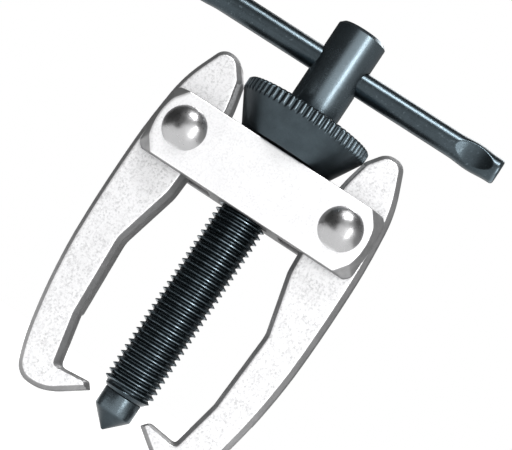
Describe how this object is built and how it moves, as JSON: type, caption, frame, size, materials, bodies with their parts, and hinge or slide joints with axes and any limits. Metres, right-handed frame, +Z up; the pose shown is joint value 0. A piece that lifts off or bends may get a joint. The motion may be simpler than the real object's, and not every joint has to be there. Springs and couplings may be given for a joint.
{
  "type": "two-jaw gear puller",
  "caption": "Small two-jaw puller: a short yoke with a pressure screw and tommy bar, hooked jaws on rivets, and a cone nut that wedges the jaws closed on a gear, bearing or terminal.",
  "frame": {"origin": "on the pressure screw's axis, level with the bottom of the jaws' hooks", "axes": "+Z up the screw's axis towards its head, X along the yoke and the tommy bar, -Y to the front, where the bar's dimples face"},
  "size_m": [0.083, 0.0314, 0.1043],
  "materials": {
    "plated_steel": "matt zinc-nickel plate over a fine blasted grain",
    "plated_forging": "matt zinc-nickel plate over a coarser blasted forging skin, darker along the bevels",
    "bright_rivet": "bright plated dome with faint forming marks",
    "black_oxide": "oiled black oxide with a blue-green sheen, crests rubbed brighter",
    "black_oxide_point": "oiled black oxide on a turned surface",
    "black_oxide_nut": "oiled black oxide with a blue-green sheen, serrations rubbed brighter",
    "black_oxide_bar": "oiled black oxide on drawn bar"
  },
  "bodies": {
    "yoke": {"yoke": "plated_steel", "left_rivet": "bright_rivet", "right_rivet": "bright_rivet"},
    "swivel_point": {"swivel_point": "black_oxide_point"},
    "centre_screw": {"centre_screw": "black_oxide"},
    "t_bar": {"t_bar": "black_oxide_bar"},
    "cone_nut": {"cone_nut": "black_oxide_nut"},
    "left_jaw": {"left_jaw": "plated_forging"},
    "right_jaw": {"right_jaw": "plated_forging"}
  },
  "joints": [
    {"name": "screw_feed", "type": "slide", "parent": "yoke", "child": "swivel_point", "axis": [0, 0, 1], "range_m": [0, 0.0451]},
    {"name": "screw_turn", "type": "hinge", "parent": "swivel_point", "child": "centre_screw", "pos_m": [0, 0, 0.0943], "axis": [0, 0, 1], "range_deg": [0, 10800]},
    {"name": "tbar_slide", "type": "slide", "parent": "centre_screw", "child": "t_bar", "axis": [1, 0, 0], "range_m": [-0.024, 0.024]},
    {"name": "cone_nut_lift", "type": "slide", "parent": "yoke", "child": "cone_nut", "axis": [0, 0, 1], "range_m": [0, 0.0096]},
    {"name": "left_jaw_swing", "type": "hinge", "parent": "yoke", "child": "left_jaw", "pos_m": [-0.0201, 0, 0.0644], "axis": [0, 1, 0], "range_deg": [0, 22.6]},
    {"name": "right_jaw_swing", "type": "hinge", "parent": "yoke", "child": "right_jaw", "pos_m": [0.0201, 0, 0.0644], "axis": [0, -1, 0], "range_deg": [0, 22.6]}
  ],
  "couplings": [
    {"joint": "screw_feed", "follows": "screw_turn", "m_per_rad": 0.00023873},
    {"joint": "cone_nut_lift", "follows": "screw_turn", "m_per_rad": 0.000050399},
    {"joint": "left_jaw_swing", "follows": "screw_turn", "ratio": 0.0020833},
    {"joint": "right_jaw_swing", "follows": "screw_turn", "ratio": 0.0020833}
  ]
}
